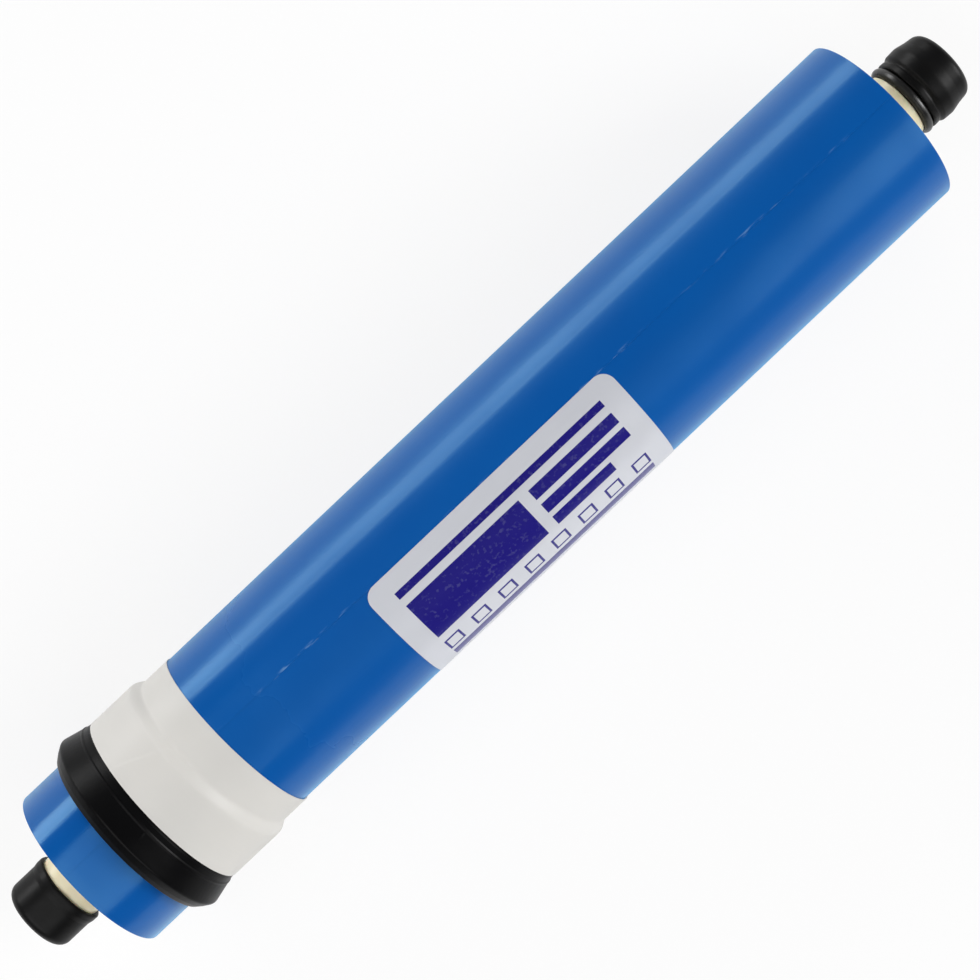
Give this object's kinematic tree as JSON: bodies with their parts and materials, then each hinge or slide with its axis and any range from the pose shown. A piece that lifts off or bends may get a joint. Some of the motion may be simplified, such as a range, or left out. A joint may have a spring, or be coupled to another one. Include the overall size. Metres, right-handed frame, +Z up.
{
  "type": "reverse osmosis membrane element",
  "caption": "Spiral-wound reverse osmosis cartridge in blue film, with a flared rubber brine seal, taped skirt, label, O-ringed product tube and push-on rubber transit caps.",
  "frame": {"origin": "on the element's axis, half way along the wound roll", "axes": "+X along the axis towards the product end, +Z up with the element lying level, label's upper edge just past the top towards -Y"},
  "size_m": [0.2924, 0.0522, 0.0522],
  "materials": {
    "cream_plastic": "satin",
    "o_ring_rubber": "satin",
    "membrane_sheet": "satin",
    "spacer_net": "satin",
    "carrier_fabric": "matte",
    "blue_film": "gloss",
    "seal_rubber": "satin",
    "white_tape": "satin",
    "silver_label": "satin",
    "cap_rubber": "gloss"
  },
  "bodies": {
    "root": {"permeate_tube": "cream_plastic", "inner_o_ring": "o_ring_rubber", "outer_o_ring": "o_ring_rubber", "membrane_leaf": "membrane_sheet", "feed_spacer": "spacer_net", "permeate_carrier": "carrier_fabric", "outer_wrap": "blue_film", "brine_seal": "seal_rubber", "seal_tape": "white_tape", "product_label": "silver_label", "feed_cap": "cap_rubber", "product_cap": "cap_rubber"}
  },
  "joints": []
}
